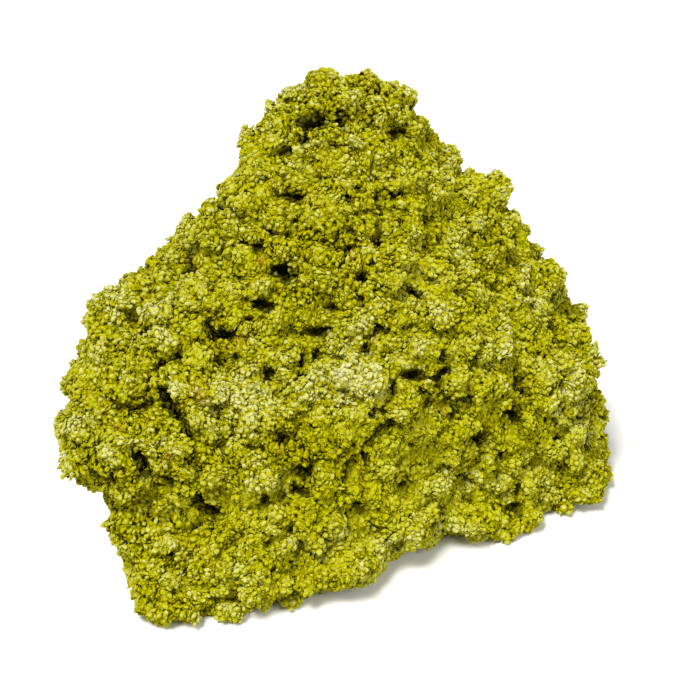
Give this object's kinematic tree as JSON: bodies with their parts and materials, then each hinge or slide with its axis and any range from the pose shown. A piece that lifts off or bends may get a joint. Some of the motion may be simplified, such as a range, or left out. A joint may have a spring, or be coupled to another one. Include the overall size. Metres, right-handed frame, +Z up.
{
  "type": "nontronite specimen",
  "caption": "Rough pyramid-shaped lump of yellow-green nontronite clay, crusted all over with tiny rounded granules, resting on its broad uneven underside.",
  "frame": {"origin": "centre of the bounding box, at the level that the lump rests on", "axes": "+Z up, +X along the longest side towards the squared right end, -X towards the overhanging left end, -Y towards the low front toe"},
  "size_m": [0.069, 0.059, 0.056],
  "materials": {
    "nontronite": "dry, chalky, granular crust, not polished"
  },
  "bodies": {
    "root": {"nontronite_mass": "nontronite"}
  },
  "joints": []
}
